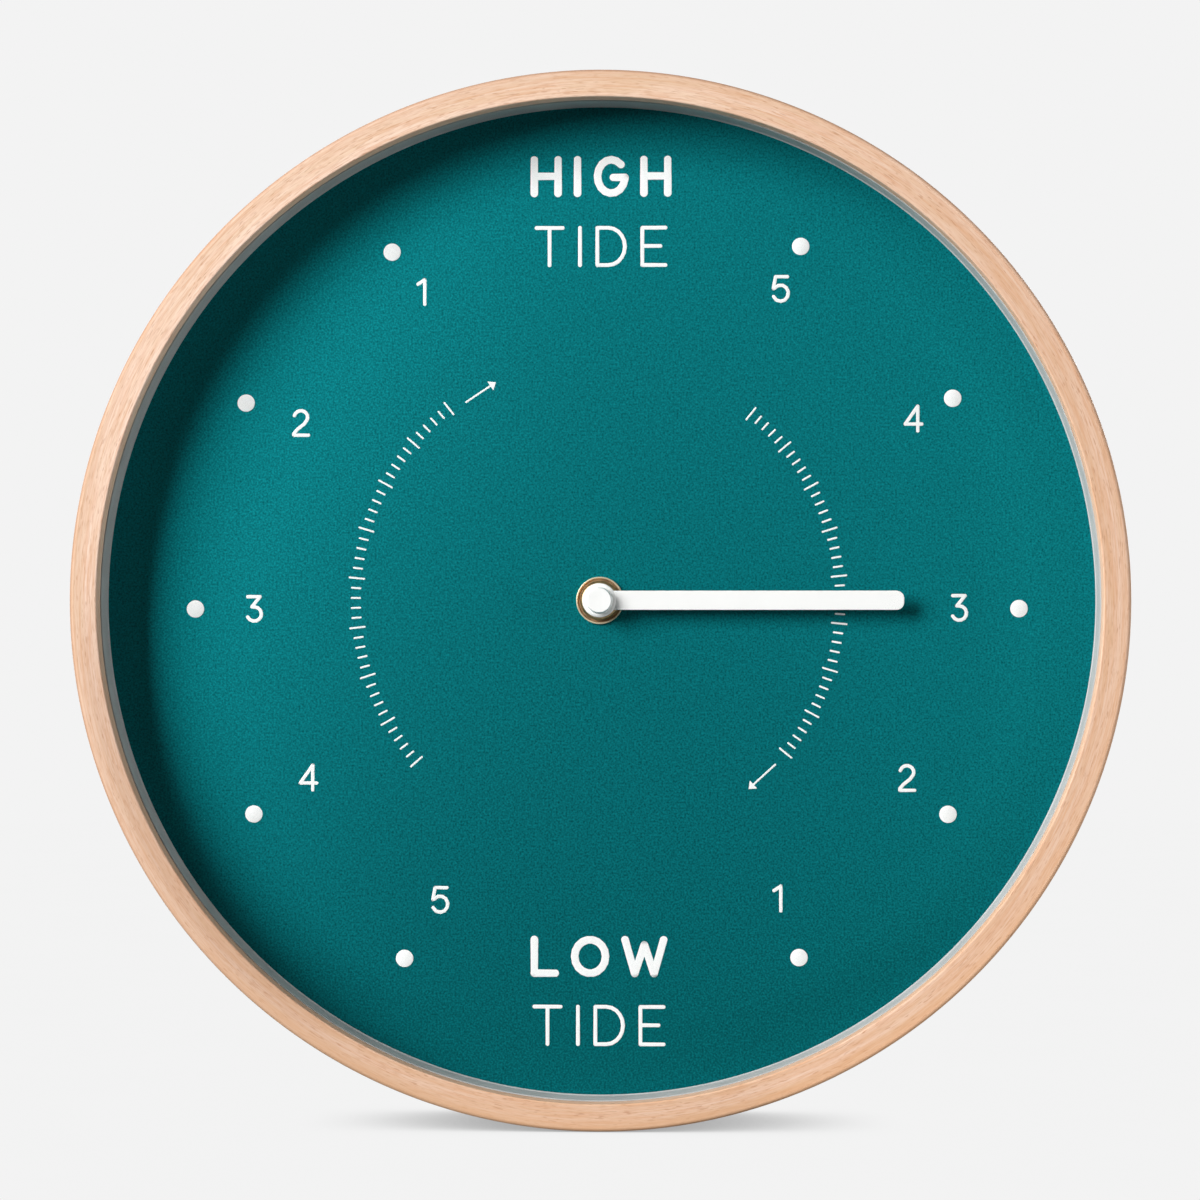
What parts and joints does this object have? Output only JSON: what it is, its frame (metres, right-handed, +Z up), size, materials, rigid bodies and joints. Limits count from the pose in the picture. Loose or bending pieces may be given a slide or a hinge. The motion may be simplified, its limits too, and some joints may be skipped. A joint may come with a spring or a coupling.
{
  "type": "tide clock",
  "caption": "Round wall clock with a bent wood hoop, a clear pane and one hand that follows the tide, driven by a battery quartz movement.",
  "frame": {"origin": "centre of the rear plane, where the hoop rests on the wall", "axes": "+X right as seen from the front, +Z up, -Y out of the dial towards the viewer, +Y into the wall"},
  "size_m": [0.3, 0.045, 0.3],
  "materials": {
    "beech": "clear matt lacquer",
    "pane": "clear",
    "grey_plastic": "matt",
    "dial_print": "fine grained matt print",
    "fibreboard": "raw",
    "zinc_steel": "zinc plated",
    "brass": "turned",
    "black_rubber": "matt",
    "white_aluminium": "white lacquer",
    "white_plastic": "satin",
    "black_plastic": "fine texture",
    "natural_plastic": "natural",
    "cell_jacket": "printed jacket",
    "contact_brass": "stamped",
    "ferrite": "sintered",
    "soft_iron": "stamped",
    "copper_wire": "enamelled wire",
    "board_laminate": "laminate"
  },
  "bodies": {
    "clock": {"frame_ring": "beech", "front_glass": "pane", "spacer_ring": "grey_plastic", "dial_plate": "dial_print", "backing_board": "fibreboard", "retaining_brackets": "zinc_steel", "bracket_screws": "zinc_steel", "hanger_block": "beech", "hanger_plate": "zinc_steel", "hanger_screws": "zinc_steel", "threaded_bushing": "brass", "dial_washer": "brass", "hub_nut": "brass", "rubber_washer": "black_rubber", "movement_front_case": "black_plastic", "movement_rear_cover": "black_plastic", "train_plate": "natural_plastic", "positive_contact": "contact_brass", "negative_contact": "contact_brass", "stator_lower_plate": "soft_iron", "stator_upper_plate": "soft_iron", "coil_bobbin": "natural_plastic", "coil_winding": "copper_wire", "coil_core": "soft_iron", "circuit_board": "board_laminate", "quartz_crystal": "zinc_steel"},
    "hand": {"tide_hand": "white_aluminium", "hand_cap": "white_plastic", "hour_wheel": "natural_plastic"},
    "minute_work": {"minute_wheel": "natural_plastic"},
    "arbor": {"centre_arbor": "brass", "clutch_spring": "contact_brass"},
    "knob": {"setting_knob": "black_plastic", "setting_pinion": "natural_plastic"},
    "rotor": {"rotor_pinion": "natural_plastic", "rotor_magnet": "ferrite"},
    "fifth": {"fifth_wheel": "natural_plastic"},
    "second": {"second_wheel": "natural_plastic"},
    "third": {"third_wheel": "natural_plastic"},
    "centre": {"centre_wheel": "natural_plastic"},
    "battery": {"battery_cell": "cell_jacket"}
  },
  "joints": [
    {"name": "hand_turn", "type": "hinge", "parent": "clock", "child": "hand", "pos_m": [0, -0.015, 0], "axis": [0, 1, 0], "continuous": true},
    {"name": "minute_work_turn", "type": "hinge", "parent": "clock", "child": "minute_work", "pos_m": [0.008, -0.015, 0], "axis": [0, 1, 0], "continuous": true},
    {"name": "arbor_turn", "type": "hinge", "parent": "clock", "child": "arbor", "pos_m": [0, -0.015, 0], "axis": [0, 1, 0], "continuous": true},
    {"name": "knob_turn", "type": "hinge", "parent": "clock", "child": "knob", "pos_m": [0.01493, -0.015, 0.004], "axis": [0, 1, 0], "continuous": true},
    {"name": "rotor_turn", "type": "hinge", "parent": "clock", "child": "rotor", "pos_m": [-0.01318, -0.015, 0.0024], "axis": [0, 1, 0], "continuous": true},
    {"name": "fifth_turn", "type": "hinge", "parent": "clock", "child": "fifth", "pos_m": [-0.00855, -0.015, -0.00311], "axis": [0, 1, 0], "continuous": true},
    {"name": "second_turn", "type": "hinge", "parent": "clock", "child": "second", "pos_m": [0, -0.015, 0], "axis": [0, 1, 0], "continuous": true},
    {"name": "third_turn", "type": "hinge", "parent": "clock", "child": "third", "pos_m": [-0.0045, -0.015, 0.00779], "axis": [0, 1, 0], "continuous": true},
    {"name": "centre_turn", "type": "hinge", "parent": "clock", "child": "centre", "pos_m": [0, -0.015, 0], "axis": [0, 1, 0], "continuous": true},
    {"name": "battery_lift_out", "type": "slide", "parent": "clock", "child": "battery", "axis": [0, 1, 0], "range_m": [0, 0.02]}
  ],
  "couplings": [
    {"joint": "minute_work_turn", "follows": "hand_turn", "ratio": -4},
    {"joint": "arbor_turn", "follows": "hand_turn", "ratio": 12},
    {"joint": "knob_turn", "follows": "hand_turn", "ratio": 12},
    {"joint": "fifth_turn", "follows": "rotor_turn", "ratio": -0.2},
    {"joint": "second_turn", "follows": "rotor_turn", "ratio": 0.033333},
    {"joint": "third_turn", "follows": "rotor_turn", "ratio": -0.0044444},
    {"joint": "centre_turn", "follows": "rotor_turn", "ratio": 0.00055556}
  ]
}
